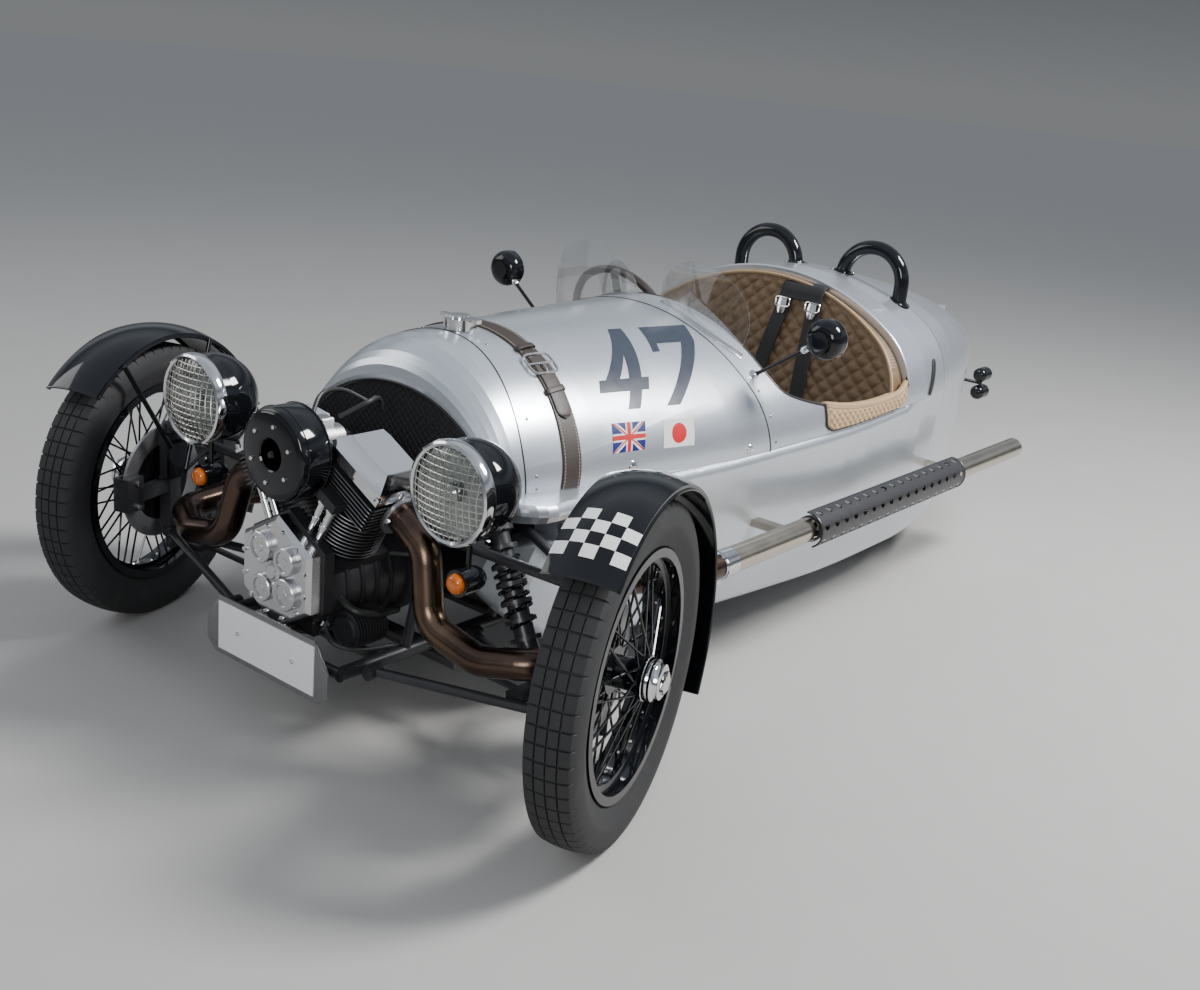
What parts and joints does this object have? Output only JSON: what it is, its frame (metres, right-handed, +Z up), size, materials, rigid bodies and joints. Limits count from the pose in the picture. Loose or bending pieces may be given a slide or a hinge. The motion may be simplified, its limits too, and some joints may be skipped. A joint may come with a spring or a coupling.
{
  "type": "three wheeled car",
  "caption": "Open three-wheeled sports car with an exposed V-twin at the front, steered wire front wheels, one rear wheel in a boat tail and a hinged tail lid.",
  "frame": {"origin": "on the ground under the middle of the whole car", "axes": "+Z up, the front towards -Y, +X towards the car's left side"},
  "size_m": [1.8073, 3.2402, 1],
  "materials": {
    "amber": "amber lens",
    "black_alloy": "black cast",
    "black_gloss": "gloss black paint",
    "black_plastic": "satin",
    "brown_leather": "dark brown leather",
    "chrome": "polished",
    "clear": "clear",
    "dark_steel": "satin black powder coat",
    "polished_alloy": "polished",
    "radiator_black": "matt black",
    "silver_paint": "satin silver paint",
    "steel_pipe": "polished stainless, heat tinted at the front",
    "tan_leather": "quilted tan leather",
    "tyre_rubber": "moulded rubber",
    "white_plate": "blank plate"
  },
  "bodies": {
    "car": {"aero_screens": "clear", "air_cleaner": "black_gloss", "bonnet": "silver_paint", "bonnet_strap": "brown_leather", "bulkheads": "dark_steel", "cockpit_surround": "silver_paint", "crankcase": "black_alloy", "cylinders": "black_alloy", "dampers": "dark_steel", "dashboard": "silver_paint", "exhaust_headers": "steel_pipe", "filler_cap": "chrome", "front_frame": "dark_steel", "gear_cover": "polished_alloy", "grille": "radiator_black", "headlamp_lenses": "clear", "headlamps": "black_gloss", "indicators": "amber", "mirrors": "black_gloss", "nose_cowl": "silver_paint", "number_plate": "white_plate", "pipe_guards": "dark_steel", "pushrod_tubes": "chrome", "radiator": "radiator_black", "rear_plate": "white_plate", "rear_swingarm": "dark_steel", "rocker_covers": "chrome", "roll_hoops": "black_gloss", "seat_back": "tan_leather", "seat_cushions": "tan_leather", "side_pads": "tan_leather", "side_pipes": "steel_pipe", "steering_column": "dark_steel", "tail_lamps": "chrome", "tail_shell": "silver_paint", "transmission_tunnel": "dark_steel", "tub": "silver_paint", "wishbones": "dark_steel"},
    "steer_left": {"upright_left": "dark_steel", "wing_left": "black_gloss"},
    "steer_right": {"upright_right": "dark_steel", "wing_right": "black_gloss"},
    "wheel_left": {"wheel_left": "black_gloss", "tyre_left": "tyre_rubber"},
    "wheel_right": {"wheel_right": "black_gloss", "tyre_right": "tyre_rubber"},
    "wheel_rear": {"wheel_rear": "black_gloss", "tyre_rear": "tyre_rubber"},
    "steering_wheel": {"steering_wheel": "black_plastic"},
    "track_rods": {"track_rods": "dark_steel"},
    "tail_lid": {"tail_lid": "silver_paint"}
  },
  "joints": [
    {"name": "steer_left", "type": "hinge", "parent": "car", "child": "steer_left", "pos_m": [0.6795, -1.2725, 0.355], "axis": [0, 0, 1], "range_deg": [-44, 10]},
    {"name": "steer_right", "type": "hinge", "parent": "car", "child": "steer_right", "pos_m": [-0.6795, -1.2725, 0.355], "axis": [0, 0, 1], "range_deg": [-44, 10]},
    {"name": "spin_left", "type": "hinge", "parent": "steer_left", "child": "wheel_left", "pos_m": [0.6795, -1.2725, 0.345], "axis": [0.9563, 0.2924, 0], "continuous": true},
    {"name": "spin_right", "type": "hinge", "parent": "steer_right", "child": "wheel_right", "pos_m": [-0.6795, -1.2725, 0.345], "axis": [0.9563, 0.2924, 0], "continuous": true},
    {"name": "spin_rear", "type": "hinge", "parent": "car", "child": "wheel_rear", "pos_m": [0, 1.1175, 0.308], "axis": [1, 0, 0], "continuous": true},
    {"name": "steering_wheel_turn", "type": "hinge", "parent": "car", "child": "steering_wheel", "pos_m": [-0.215, -0.0825, 0.735], "axis": [0, 0.9272, 0.3746], "range_deg": [-150, 660]},
    {"name": "track_rod_slide", "type": "slide", "parent": "car", "child": "track_rods", "axis": [1, 0, 0], "range_m": [-0.01773, 0.07766]},
    {"name": "lid_hinge", "type": "hinge", "parent": "car", "child": "tail_lid", "pos_m": [0, 1.529, 0.694], "axis": [-1, 0, 0], "range_deg": [0, 60]}
  ],
  "couplings": [
    {"joint": "steer_right", "follows": "steer_left", "ratio": 1},
    {"joint": "steering_wheel_turn", "follows": "steer_left", "ratio": -15},
    {"joint": "track_rod_slide", "follows": "steer_left", "m_per_rad": -0.101}
  ]
}
